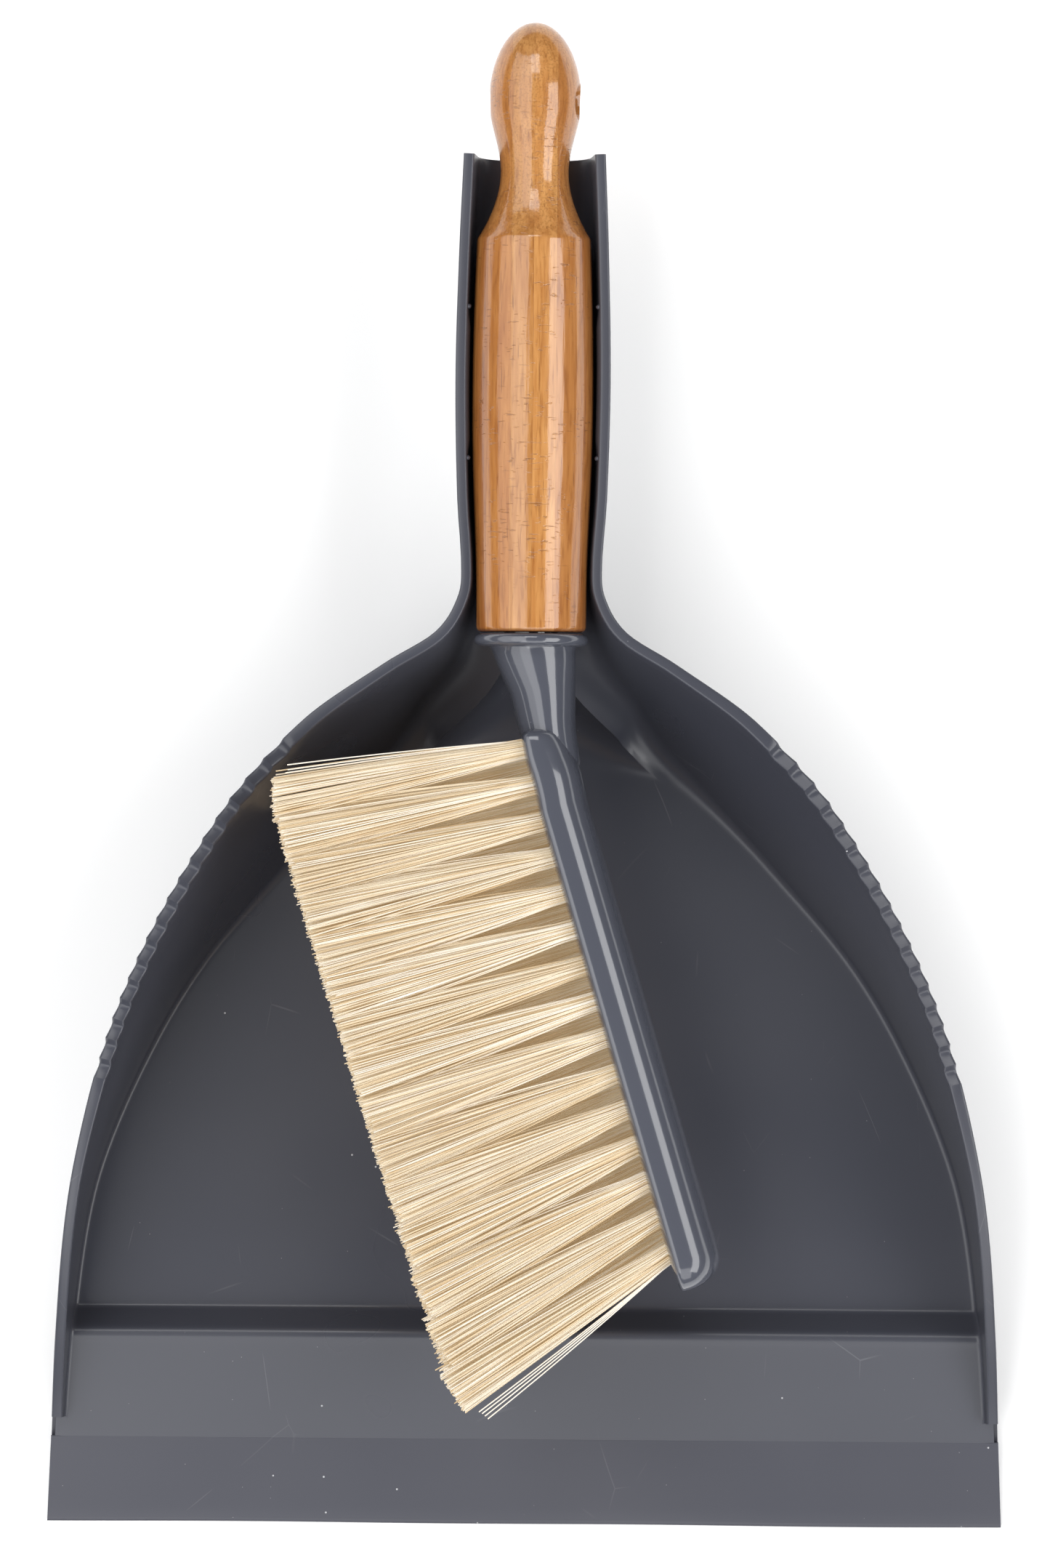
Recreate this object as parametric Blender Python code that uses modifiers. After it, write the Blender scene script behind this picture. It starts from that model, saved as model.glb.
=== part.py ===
"""Dustpan with a hand brush clipped into its hollow handle.

The pan lies on its underside, with its lip towards -Y, its handle towards +Y and its mouth up.
A place along the pan is given by its distance from the lip's front edge, called the station.
Sizes are in millimetres, and mesh points are scaled to metres as each mesh is made.
"""

import math

import bmesh
import bpy
from mathutils import Matrix, Vector

MM = 0.001
GAP = 0.3

# Pan
TOTAL_LENGTH = 342.6
LIP_HALF_WIDTH = 110.0
LIP_JOINT = 20.0
WALL_FRONT = 24.6
CHANNEL_END = 312.7
SHELL = 2.0
RIM_BEAD = 0.4
INNER_BEAD = 0.45
TRAY_FLOOR = 2.0
LIP_JOINT_HEIGHT = 3.4
CHANNEL_FLOOR = 29.9
SLOPE_START = 180.5
SLOPE_END = 212.0
SLOPE_BEND = 185.0
FLOOR_SHARES = (0.75, 0.45, 0.15)

# Comb along both sides of the rim
COMB_START = 103.8
COMB_END = 180.7
COMB_TEETH = 17
COMB_DEPTH = 1.3
COMB_INSET = 0.37
COMB_VALLEY = (0.28, 0.42)

# Clip pads inside the channel
PAD_START = 243.9
PAD_END = 278.3
PAD_DEPTH = 0.5

# Wooden handle, turned about an axis along Y
AXIS_HEIGHT = 44.0
HANDLE_END = 205.0
BORE_RADIUS = 6.3
BORE_DEPTH = 30.0
HANG_HOLE_STATION = 324.5
HANG_HOLE_RADIUS = 3.4
HANG_HOLE_TILT = math.radians(8)

# Brush head
SPIGOT_RADIUS = 6.0
BLOCK_TILT = math.radians(16.75)
BLOCK_ORIGIN = (13.37, 146.4)
BLOCK_START = -14.0
BLOCK_END = 92.0
BLOCK_ROUNDING = 7.0
BLOCK_HALF_WIDTH = 13.8
BLOCK_HALF_THICKNESS = 5.75
BLOCK_CROWN = 2.6
FACE_SQUARENESS = 5.0
BACK_SQUARENESS = 2.3
HEAD_POINTS = 32

# Stations that shape the head: (x, station, tilt in degrees, half thickness, half width)
NECK = (
    (0.4, 201.7, 0, 9.9, 9.9),
    (0.6, 201.0, 0.5, 9.5, 9.65),
    (1.2, 198.3, 2, 9.0, 9.6),
    (1.95, 195.0, 4.5, 8.2, 9.6),
    (2.65, 192.0, 7, 7.5, 9.6),
    (3.2, 188.0, 9, 7.0, 9.7),
    (3.6, 184.8, 10.5, 6.65, 9.85),
    (4.1, 182.0, 12, 6.35, 9.9),
    (4.85, 178.6, 13.5, 6.1, 9.8),
    (5.7, 174.8, 15, 5.8, 9.4),
    (6.4, 171.5, 16, 4.9, 8.4),
    (6.8, 169.6, 16.2, 3.2, 6.0),
)
BLOCK_SHOULDER = (
    (2.9, 183.5, 2, 2.2, 7.0),
    (2.9, 183.2, 2, 3.4, 9.6),
    (2.9, 182.6, 2.5, 4.4, 11.3),
    (2.95, 181.7, 3.5, 5.0, 12.2),
    (3.6, 179.6, 8, 5.4, 12.75),
    (4.45, 176.9, 12, 5.65, 13.15),
    (5.65, 173.6, 15, 5.75, 13.5),
    (6.65, 170.0, 16.4, 5.75, 13.7),
    (7.47, 166.0, 16.75, 5.75, 13.8),
)

# Bristle tufts. A row's height above the middle, its number of tufts, and its first tuft's lean in degrees
TUFT_ROWS = ((7.5, 15, -5.5), (0.0, 14, -3.5), (-7.5, 15, 2.2))
LONGEST_ROW = 15
TUFT_PITCH = 8.44
FIRST_TUFT = -35.3
FAN_LEAN = 7.2
FAN_END_LEAN = 9.5
FLARE_PER_MM = 0.85
HOLE_RADIUS = 2.3
HOLE_DEPTH = 6.2
TUFT_SIDES = 8
# A tuft's distance from the face, half width along the block, and half thickness across it
TUFT_SHAPE = ((1.0 - HOLE_DEPTH, 1.95, 1.95), (0.5, 1.95, 1.95), (14.0, 3.0, 2.8), (56.8, 4.2, 4.0))

SLATE = (0.085, 0.089, 0.106, 1.0)
BAMBOO = (0.55, 0.30, 0.12, 1.0)
BRISTLE = (0.80, 0.70, 0.50, 1.0)


def clear_scene():
    for obj in list(bpy.data.objects):
        bpy.data.objects.remove(obj, do_unlink=True)


def new_collection(name):
    collection = bpy.data.collections.new(name)
    bpy.context.scene.collection.children.link(collection)
    return collection


def new_material(name, colour, roughness):
    material = bpy.data.materials.new(name)
    material.use_nodes = True
    shader = material.node_tree.nodes["Principled BSDF"]
    shader.inputs["Base Color"].default_value = colour
    shader.inputs["Roughness"].default_value = roughness
    shader.inputs["Metallic"].default_value = 0.0
    return material


def add_object(name, bm, collection, material=None, smooth_angle=40):
    """A new object from a bmesh in millimetres, whose normals are made to face out."""
    bmesh.ops.scale(bm, vec=(MM, MM, MM), verts=bm.verts)
    bmesh.ops.recalc_face_normals(bm, faces=bm.faces)
    mesh = bpy.data.meshes.new(name)
    bm.to_mesh(mesh)
    bm.free()
    mesh.shade_smooth()
    mesh.set_sharp_from_angle(angle=math.radians(smooth_angle))
    if material:
        mesh.materials.append(material)
    obj = bpy.data.objects.new(name, mesh)
    collection.objects.link(obj)
    return obj


def combine(obj, other, operation):
    """Adds the other object to this one, or takes it away, as a UNION or a DIFFERENCE."""
    modifier = obj.modifiers.new(operation.lower() + "_" + other.name, "BOOLEAN")
    modifier.operation = operation
    modifier.solver = "EXACT"
    modifier.object = other


def hide_helper(helper):
    """Keeps a Boolean's second shape out of the render."""
    helper.hide_render = True
    helper.display_type = "WIRE"
    return helper


def world_y(station):
    return station - TOTAL_LENGTH / 2


def loft(rings):
    """A closed bmesh through rings of equal point counts, with a flat cap on the first and the last."""
    bm = bmesh.new()
    loops = [[bm.verts.new(point) for point in ring] for ring in rings]
    for near, far in zip(loops, loops[1:]):
        for k in range(len(near)):
            after = (k + 1) % len(near)
            bm.faces.new((near[k], near[after], far[after], far[k]))
    bm.faces.new(reversed(loops[0]))
    bm.faces.new(loops[-1])
    return bm


def smooth_step(low, high, value):
    part = min(1.0, max(0.0, (value - low) / (high - low)))
    return part * part * (3 - 2 * part)


def curve_through(points):
    """A smooth function through (x, y) points: cubic pieces, with slopes set by each point's neighbours."""
    slopes = []
    for k in range(len(points)):
        before = points[max(k - 1, 0)]
        after = points[min(k + 1, len(points) - 1)]
        slopes.append((after[1] - before[1]) / (after[0] - before[0]))

    def value(x):
        k = 0
        while k < len(points) - 2 and x > points[k + 1][0]:
            k += 1
        (x0, y0), (x1, y1) = points[k], points[k + 1]
        span = x1 - x0
        t = (x - x0) / span
        return (
            (2 * t**3 - 3 * t**2 + 1) * y0
            + (t**3 - 2 * t**2 + t) * span * slopes[k]
            + (3 * t**2 - 2 * t**3) * y1
            + (t**3 - t**2) * span * slopes[k + 1]
        )

    return value


# The pan's plan and section, each against the station.
rim_half_width = curve_through(
    (
        (0, LIP_HALF_WIDTH),
        (45, 107.4),
        (85, 102.5),
        (125, 91.0),
        (164, 69.9),
        (185, 51.2),
        (198, 32.8),
        (205, 21.6),
        (213, 16.6),
        (220, 15.9),
        (235, 16.9),
        (262, 17.5),
        (290, 16.9),
        (CHANNEL_END, 16.0),
    )
)
rim_height = curve_through(
    (
        (LIP_JOINT, 7.4),
        (WALL_FRONT, 8.2),
        (45, 21),
        (60, 29.5),
        (80, 37),
        (104, 41.5),
        (135, 44.5),
        (180, 46),
        (215, 48),
        (240, 49),
        (CHANNEL_END, 49),
    )
)
wall_run = curve_through(
    (
        (LIP_JOINT, 0.4),
        (60, 0.8),
        (83, 2.2),
        (113, 7),
        (135, 10.5),
        (163, 16),
        (180, 17),
        (192, 15.5),
        (200, 10.5),
        (207, 5),
        (213, 2),
        (220, 1.5),
        (CHANNEL_END, 1.5),
    )
)
corner_size = curve_through(
    (
        (LIP_JOINT, 0.8),
        (45, 2),
        (65, 2.4),
        (160, 2.8),
        (190, 4),
        (205, 7),
        (213, 9.5),
        (220, 11),
        (CHANNEL_END, 11),
    )
)
front_floor = curve_through(
    (
        (LIP_JOINT, LIP_JOINT_HEIGHT),
        (31, 6.4),
        (42.2, 9.4),
        (43.6, 9.9),
        (44.8, 9.8),
        (45.8, 8.9),
        (49.2, 3.2),
        (50.4, 2.2),
        (52, TRAY_FLOOR),
        (60, TRAY_FLOOR),
    )
)


def floor_height(station, x=0.0):
    """The floor's top: a ramp up from the lip, a step down, the flat tray, and a slope up to the channel.

    The slope's foot is an arc that bends towards the lip at the sides.
    """
    if station < 55:
        return front_floor(station)
    rise = smooth_step(SLOPE_START, SLOPE_END, station + x * x / SLOPE_BEND)
    return TRAY_FLOOR + (CHANNEL_FLOOR - TRAY_FLOOR) * rise


def bezier(start, control, end, steps):
    """Points of a quadratic curve, with its ends."""
    points = []
    for k in range(steps + 1):
        t = k / steps
        points.append((1 - t) ** 2 * start + 2 * t * (1 - t) * control + t**2 * end)
    return points


def wall_reach(height, run):
    """How far the rim stands out from the inner corner of the floor and the wall."""
    return run + SHELL / math.sin(math.atan2(height, run)) + RIM_BEAD


def comb_notch(station):
    """How far the comb cuts into the rim here, from 0 on a crest to 1 along the valley."""
    if not COMB_START < station < COMB_END:
        return 0.0
    pitch = (COMB_END - COMB_START) / COMB_TEETH
    part = (COMB_END - station) / pitch % 1.0
    steep_end, climb_start = COMB_VALLEY
    return min(1.0, part / steep_end, (1 - part) / (1 - climb_start))


def inner_bead(station):
    """How far the rim's inner edge overhangs the wall, which is where the comb is."""
    return INNER_BEAD * smooth_step(80, COMB_START, station) * (1 - smooth_step(COMB_END, 200, station))


def wall_section(height, run, corner, pad, notch, overhang):
    """Half a section as (outward, up) points from the floor's edge over the rim to the underside's edge.

    It starts from the inner corner, where the floor and the wall's inner face would meet.
    """
    slope = math.atan2(height, run)
    up_wall = Vector((math.cos(slope), math.sin(slope)))
    inner = bezier(Vector((-corner, 0)), Vector((0, 0)), corner * up_wall, 4)
    wall_length = math.hypot(height, run)
    for part, share in ((0.35, 0), (0.55, 0.7), (0.72, 1), (0.87, 0.7)):
        along = corner + (wall_length - corner) * part
        inner.append(along * up_wall - Vector((pad * share, 0)))
    rim = wall_reach(height, run)
    bead = min(2.0, 0.36 * height)
    below = height - bead - min(0.6, 0.15 * height)
    edge = 0.35
    cut = Vector((-COMB_INSET * notch, -COMB_DEPTH * notch))
    top = [
        Vector((run - 0.1 - overhang, height - edge)) + cut,
        Vector((run + edge - overhang, height)) + cut,
        Vector((rim - edge, height)) + cut,
        Vector((rim, height - edge)) + cut,
        Vector((rim - COMB_INSET * notch, height - bead)),
        Vector((below / math.tan(slope) + SHELL / math.sin(slope), below)),
    ]
    shift = SHELL * math.tan(slope / 2)
    outer_corner = Vector((shift, -SHELL))
    outer = bezier(
        outer_corner + (corner + shift) * up_wall,
        outer_corner,
        Vector((-corner, -SHELL)),
        4,
    )
    return inner + top + outer


def pan_ring(station):
    """The pan's closed section that meets the rim at this station, square to the rim in plan."""
    half_width = rim_half_width(station)
    slope = rim_half_width(station + 0.5) - rim_half_width(station - 0.5)
    outward = Vector((1, -slope)).normalized()
    run = wall_run(station)
    corner_station, corner_x = station, half_width
    for _ in range(8):
        floor = floor_height(corner_station, corner_x)
        height = rim_height(station) - floor
        reach = wall_reach(height, run)
        corner_station = station - outward.y * reach
        corner_x = half_width - outward.x * reach
    corner = min(corner_size(station), 0.45 * height, corner_x - 1.0)
    pad = PAD_DEPTH * smooth_step(PAD_START, PAD_START + 5, station)
    pad *= 1 - smooth_step(PAD_END - 5, PAD_END, station)
    right = []
    section = wall_section(height, run, corner, pad, comb_notch(station), inner_bead(station))
    for out, up in section:
        x = corner_x + outward.x * out
        y = world_y(corner_station + outward.y * out)
        right.append((x, y, floor + up))
    half = floor_row(right[0], 0)[::-1] + right + floor_row(right[-1], SHELL)
    return half + [(-x, y, z) for x, y, z in reversed(half)]


def floor_row(edge, depth):
    """Points from the floor's edge towards its middle, a depth below its top."""
    station = edge[1] - world_y(0)
    lift = edge[2] + depth - floor_height(station, edge[0])
    row = []
    for share in FLOOR_SHARES:
        x = edge[0] * share
        row.append((x, edge[1], floor_height(station, x) + lift * share**4 - depth))
    return row


def pan_stations():
    stations = [LIP_JOINT, WALL_FRONT, 31, 37, 41, 42.4, 43.6, 44.8, 45.9, 47.5, 49.2, 50.4, 52]
    stations += [56 + 8 * k for k in range(6)]
    pitch = (COMB_END - COMB_START) / COMB_TEETH
    for tooth in reversed(range(COMB_TEETH)):
        crest = COMB_END - pitch * tooth
        stations += [crest - pitch, crest - pitch * COMB_VALLEY[1], crest - pitch * COMB_VALLEY[0]]
    stations += [COMB_END, 184, 187, 191, 194.5, 197.5, 200, 202.5, 205]
    stations += [207.5, 210, 213, 217, 222, 228, 236]
    stations += [PAD_START, PAD_START + 2.5, PAD_START + 5, 261, PAD_END - 5, PAD_END - 2.5, PAD_END]
    stations += [290, 302, CHANNEL_END]
    return stations


def front_notch_cutter(side, cutters):
    """Takes the wall away ahead of its front end, down to the ramp."""
    ramp = math.atan2(floor_height(WALL_FRONT) - LIP_JOINT_HEIGHT, WALL_FRONT - LIP_JOINT)
    bm = bmesh.new()
    size = Vector((12, 10, 12))
    bmesh.ops.create_cube(bm, size=1)
    bmesh.ops.scale(bm, vec=size, verts=bm.verts)
    bmesh.ops.translate(bm, vec=(0, -size.y / 2, size.z / 2), verts=bm.verts)
    place = Matrix.Translation(
        (side * (LIP_HALF_WIDTH - 1), world_y(WALL_FRONT), floor_height(WALL_FRONT) + 0.02)
    )
    bmesh.ops.transform(bm, matrix=place @ Matrix.Rotation(ramp, 4, "X"), verts=bm.verts)
    name = "front_notch_right" if side > 0 else "front_notch_left"
    return hide_helper(add_object(name, bm, cutters))


def make_pan(parts, cutters, plastic):
    pan = add_object("pan_shell", loft([pan_ring(s) for s in pan_stations()]), parts, plastic)
    for side in (1, -1):
        combine(pan, front_notch_cutter(side, cutters), "DIFFERENCE")
    return pan


def make_lip(parts, rubber):
    """The soft strip that meets the ground. Its tail reaches back under the ramp and is bonded to it."""
    tail = 26.0
    ramp = (floor_height(tail) - LIP_JOINT_HEIGHT) / (tail - LIP_JOINT)
    tail_top = LIP_JOINT_HEIGHT - SHELL - GAP
    profile = [
        (0, 0),
        (0, 0.6),
        (0.4, 1.0),
        (LIP_JOINT - GAP, LIP_JOINT_HEIGHT),
        (LIP_JOINT - GAP, tail_top),
        (tail, tail_top + ramp * (tail - LIP_JOINT)),
        (tail, 0),
    ]
    rings = []
    for side in (1, -1):
        ring = []
        for station, height in profile:
            half_width = LIP_HALF_WIDTH - 0.045 * station
            ring.append((side * half_width, world_y(station), height))
        rings.append(ring)
    return add_object("lip_strip", loft(rings), parts, rubber)


def handle_profile():
    """(radius, station) points of the turned handle, from its tip to its open end and up the bore."""
    ball, ball_radius, ball_rise = 325.0, 10.43, TOTAL_LENGTH - 325.0
    neck, neck_radius = 308.8, 7.7
    shoulder, shoulder_radius = 293.9, 12.75
    widest, widest_radius = 256.0, 13.72
    end_radius = 12.4
    points = []
    for k in range(9):
        angle = math.radians(90 - 90 * k / 8)
        points.append((ball_radius * math.cos(angle), ball + ball_rise * math.sin(angle)))
    for k in range(1, 6):
        part = k / 5
        swell = 0.5 + 0.5 * math.cos(math.pi * part)
        points.append(
            (neck_radius + (ball_radius - neck_radius) * swell, ball + (neck - ball) * part)
        )
    for k in range(1, 6):
        part = k / 5
        flare = (shoulder_radius - neck_radius) * part**1.9
        points.append((neck_radius + flare, neck + (shoulder - neck) * part))
    points.append((shoulder_radius + 0.15, shoulder - 0.8))
    for part in (0.7, 0.35, 0):
        narrowing = (widest_radius - shoulder_radius - 0.15) * part**2
        points.append((widest_radius - narrowing, widest + (shoulder - 0.8 - widest) * part))
    for k in range(1, 5):
        part = k / 4
        narrowing = (widest_radius - end_radius) * (0.5 - 0.5 * math.cos(math.pi * part))
        points.append((widest_radius - narrowing, widest + (HANDLE_END + 1.2 - widest) * part))
    points.append((end_radius - 0.35, HANDLE_END + 0.35))
    points.append((end_radius - 1.2, HANDLE_END))
    points.append((BORE_RADIUS, HANDLE_END))
    points.append((BORE_RADIUS, HANDLE_END + BORE_DEPTH))
    points.append((0, HANDLE_END + BORE_DEPTH))
    return points


def make_handle(parts, cutters, wood):
    profile = bmesh.new()
    verts = [profile.verts.new((radius, 0, station)) for radius, station in handle_profile()]
    for near, far in zip(verts, verts[1:]):
        profile.edges.new((near, far))
    bmesh.ops.scale(profile, vec=(MM, MM, MM), verts=profile.verts)
    mesh = bpy.data.meshes.new("handle")
    profile.to_mesh(mesh)
    profile.free()
    mesh.materials.append(wood)
    handle = bpy.data.objects.new("handle", mesh)
    parts.objects.link(handle)
    handle.location = (0, -TOTAL_LENGTH / 2 * MM, AXIS_HEIGHT * MM)
    handle.rotation_euler = (math.radians(-90), 0, 0)
    turn = handle.modifiers.new("turn", "SCREW")
    turn.axis = "Z"
    turn.steps = 32
    turn.render_steps = 32
    turn.use_merge_vertices = True
    turn.merge_threshold = 0.00001
    turn.use_smooth_shade = True
    combine(handle, hanging_hole_cutter(cutters), "DIFFERENCE")
    return handle


def hanging_hole_cutter(cutters):
    """A cylinder with flared ends, so that the hole's mouths are eased."""
    rings = []
    ease = 0.7
    for along, radius in (
        (-14, HANG_HOLE_RADIUS + 4.9),
        (-9.3, HANG_HOLE_RADIUS),
        (9.3, HANG_HOLE_RADIUS),
        (14, HANG_HOLE_RADIUS + 4.9),
    ):
        widened = HANG_HOLE_RADIUS + (radius - HANG_HOLE_RADIUS) * ease
        ring = []
        for k in range(24):
            angle = 2 * math.pi * k / 24
            ring.append((along, widened * math.cos(angle), widened * math.sin(angle)))
        rings.append(ring)
    bm = loft(rings)
    place = Matrix.Translation((0, world_y(HANG_HOLE_STATION), AXIS_HEIGHT))
    turn = Matrix.Rotation(-HANG_HOLE_TILT, 4, "Y")
    bmesh.ops.transform(bm, matrix=place @ turn, verts=bm.verts)
    return hide_helper(add_object("hanging_hole", bm, cutters))


def head_ring(x, station, tilt, half_thickness, half_width, crown=0.0, squareness=(2, 2)):
    """A ring round the brush head's centreline: a circle, or a D with its flat side on the bristle face.

    The ring's highest line is moved by crown towards the face. Squareness is that of the face and the back.
    """
    ring = []
    for k in range(HEAD_POINTS):
        angle = 2 * math.pi * (k + 0.5) / HEAD_POINTS
        cosine, sine = math.cos(angle), math.sin(angle)
        if cosine > 0:
            half, power = half_thickness + crown, 2 / squareness[1]
        else:
            half, power = half_thickness - crown, 2 / squareness[0]
        across = math.copysign(abs(cosine) ** power, cosine) * half - crown
        up = math.copysign(abs(sine) ** power, sine) * half_width
        ring.append(
            (
                x + across * math.cos(tilt),
                world_y(station) + across * math.sin(tilt),
                AXIS_HEIGHT + up,
            )
        )
    return ring


def block_point(along):
    """(x, station) of the block's centreline at a distance along it from its origin."""
    return (
        BLOCK_ORIGIN[0] + along * math.sin(BLOCK_TILT),
        BLOCK_ORIGIN[1] - along * math.cos(BLOCK_TILT),
    )


def d_ring(x, station, tilt, half_thickness, half_width):
    """A ring of the block's D section, whose crown is in proportion to its thickness."""
    crown = BLOCK_CROWN * half_thickness / BLOCK_HALF_THICKNESS
    squareness = (FACE_SQUARENESS, BACK_SQUARENESS)
    return head_ring(x, station, tilt, half_thickness, half_width, crown, squareness)


def neck_rings():
    """The spigot, the collar, and the neck, which ends inside the block."""
    rings = []
    spigot_end = HANDLE_END + BORE_DEPTH - 1.2
    collar = HANDLE_END - GAP
    for station, radius in (
        (spigot_end, SPIGOT_RADIUS - 0.8),
        (spigot_end - 0.8, SPIGOT_RADIUS),
        (collar, SPIGOT_RADIUS),
        (collar, 11.7),
        (collar - 0.45, 12.6),
        (collar - 1.4, 12.9),
        (collar - 2.35, 12.6),
        (collar - 2.8, 11.7),
    ):
        rings.append(head_ring(0, station, 0, radius, radius))
    for x, station, degrees, thickness, width in NECK:
        rings.append(head_ring(x, station, math.radians(degrees), thickness, width))
    return rings


def block_rings():
    """The block, from its shoulder on the neck to its rounded end."""
    rings = []
    for x, station, degrees, thickness, width in BLOCK_SHOULDER:
        rings.append(d_ring(x, station, math.radians(degrees), thickness, width))
    along = BLOCK_START
    while along < BLOCK_END - BLOCK_ROUNDING - 1:
        x, station = block_point(along)
        rings.append(d_ring(x, station, BLOCK_TILT, BLOCK_HALF_THICKNESS, BLOCK_HALF_WIDTH))
        along += 13
    for degrees in (0, 20, 40, 58, 73, 85):
        angle = math.radians(degrees)
        x, station = block_point(BLOCK_END - BLOCK_ROUNDING * (1 - math.sin(angle)))
        half = BLOCK_HALF_THICKNESS * (0.3 + 0.7 * math.cos(angle))
        towards_face = (BLOCK_HALF_THICKNESS - half) * 0.75
        x -= towards_face * math.cos(BLOCK_TILT)
        station -= towards_face * math.sin(BLOCK_TILT)
        width = BLOCK_HALF_WIDTH * (0.45 + 0.55 * math.cos(angle) ** 0.8)
        rings.append(d_ring(x, station, BLOCK_TILT, half, width))
    return rings


def fan_angle(share, first_lean):
    """How far a tuft leans along the block, from towards the handle to towards the block's end."""
    return math.radians(first_lean + (FAN_LEAN - first_lean) * share + FAN_END_LEAN * share**4)


def tuft_frames():
    """Each tuft's name, root on the bristle face, direction, and the direction along the block."""
    along_block = Vector((math.sin(BLOCK_TILT), -math.cos(BLOCK_TILT), 0))
    out_of_face = Vector((-math.cos(BLOCK_TILT), -math.sin(BLOCK_TILT), 0))
    frames = []
    for letter, (row_height, count, first_lean) in zip("abc", TUFT_ROWS):
        for index in range(count):
            place = index + (LONGEST_ROW - count) / 2
            x, station = block_point(FIRST_TUFT + TUFT_PITCH * place)
            root = Vector((x, world_y(station), AXIS_HEIGHT + row_height))
            root += out_of_face * BLOCK_HALF_THICKNESS
            lean = fan_angle(place / (LONGEST_ROW - 1), first_lean)
            flare = math.radians(row_height * FLARE_PER_MM)
            direction = (
                out_of_face * math.cos(lean) * math.cos(flare)
                + along_block * math.sin(lean)
                + Vector((0, 0, 1)) * math.sin(flare)
            ).normalized()
            frames.append((f"tuft_{letter}{index + 1:02d}", root, direction, along_block))
    return frames


def tuft_rings(root, direction, along_block):
    """Oval rings round a tuft, from inside its hole to its trimmed end."""
    side = (along_block - direction * along_block.dot(direction)).normalized()
    across = direction.cross(side)
    rings = []
    for distance, wide, thick in TUFT_SHAPE:
        ring = []
        for k in range(TUFT_SIDES):
            angle = 2 * math.pi * (k + 0.5) / TUFT_SIDES
            ring.append(
                root
                + direction * distance
                + side * wide * math.cos(angle)
                + across * thick * math.sin(angle)
            )
        rings.append(ring)
    return rings


def make_tufts(parts, bristle):
    for name, root, direction, along_block in tuft_frames():
        add_object(name, loft(tuft_rings(root, direction, along_block)), parts, bristle)


def tuft_holes_cutter(cutters):
    """All the tuft holes as one cutter of separate round plugs."""
    bm = bmesh.new()
    for _, root, direction, _ in tuft_frames():
        half = (HOLE_DEPTH + 4.0) / 2
        middle = root + direction * (half - HOLE_DEPTH)
        turn = direction.to_track_quat("Z", "Y").to_matrix().to_4x4()
        bmesh.ops.create_cone(
            bm,
            cap_ends=True,
            segments=10,
            radius1=HOLE_RADIUS,
            radius2=HOLE_RADIUS,
            depth=2 * half,
            matrix=Matrix.Translation(middle) @ turn,
        )
    return hide_helper(add_object("tuft_holes", bm, cutters))


def make_head(parts, cutters, plastic):
    head = add_object("brush_head", loft(neck_rings()), parts, plastic)
    block = hide_helper(add_object("block", loft(block_rings()), cutters, plastic))
    combine(head, block, "UNION")
    combine(head, tuft_holes_cutter(cutters), "DIFFERENCE")
    return head


def main():
    clear_scene()
    parts = new_collection("dustpan_and_brush")
    cutters = new_collection("cutters")
    cutters.hide_render = True
    pan_plastic = new_material("pan_plastic", SLATE, 0.38)
    lip_rubber = new_material("lip_rubber", SLATE, 0.5)
    head_plastic = new_material("head_plastic", SLATE, 0.25)
    bamboo = new_material("bamboo", BAMBOO, 0.35)
    bristle = new_material("bristle", BRISTLE, 0.6)
    make_pan(parts, cutters, pan_plastic)
    make_lip(parts, lip_rubber)
    make_handle(parts, cutters, bamboo)
    make_head(parts, cutters, head_plastic)
    make_tufts(parts, bristle)


main()
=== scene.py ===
"""The looks of the dustpan and brush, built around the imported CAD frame.

Sizes are in millimetres unless a name says otherwise, and meshes are scaled to metres as they are made.
A place along the pan is its distance from the lip's front edge, called the station.
"""

import math
import random

import bmesh
import bpy
from mathutils import Matrix, Vector


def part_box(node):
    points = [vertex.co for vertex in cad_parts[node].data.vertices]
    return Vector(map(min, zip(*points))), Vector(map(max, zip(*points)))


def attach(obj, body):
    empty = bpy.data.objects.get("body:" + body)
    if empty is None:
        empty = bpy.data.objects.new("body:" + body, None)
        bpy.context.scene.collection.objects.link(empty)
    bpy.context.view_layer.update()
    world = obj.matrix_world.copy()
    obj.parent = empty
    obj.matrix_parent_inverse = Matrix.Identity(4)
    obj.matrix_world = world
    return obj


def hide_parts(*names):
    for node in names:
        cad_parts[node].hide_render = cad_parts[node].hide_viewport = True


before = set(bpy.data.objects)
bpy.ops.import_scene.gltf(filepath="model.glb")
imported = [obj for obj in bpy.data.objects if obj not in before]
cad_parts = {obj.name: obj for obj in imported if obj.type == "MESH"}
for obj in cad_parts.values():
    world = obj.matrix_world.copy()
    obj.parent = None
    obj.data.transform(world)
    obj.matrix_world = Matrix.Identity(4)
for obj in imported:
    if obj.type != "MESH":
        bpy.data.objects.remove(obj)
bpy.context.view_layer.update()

MM = 0.001
SEED = 7

# Sizes that come from the frame
lip_low, lip_high = [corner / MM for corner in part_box("lip_strip")]
_, pan_high = [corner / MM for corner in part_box("pan_shell")]
handle_low, handle_high = [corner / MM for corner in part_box("handle")]
head_low, head_high = [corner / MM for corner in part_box("brush_head")]
LIP_EDGE_Y = lip_low.y
TOTAL_LENGTH = handle_high.y - LIP_EDGE_Y
LIP_HALF_WIDTH = lip_high.x
CHANNEL_END = pan_high.y - LIP_EDGE_Y
AXIS_HEIGHT = (handle_low.z + handle_high.z) / 2
HANDLE_RADIUS = (handle_high.x - handle_low.x) / 2
HANDLE_END = handle_low.y - LIP_EDGE_Y
BLOCK_HALF_WIDTH = (head_high.z - head_low.z) / 2

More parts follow.
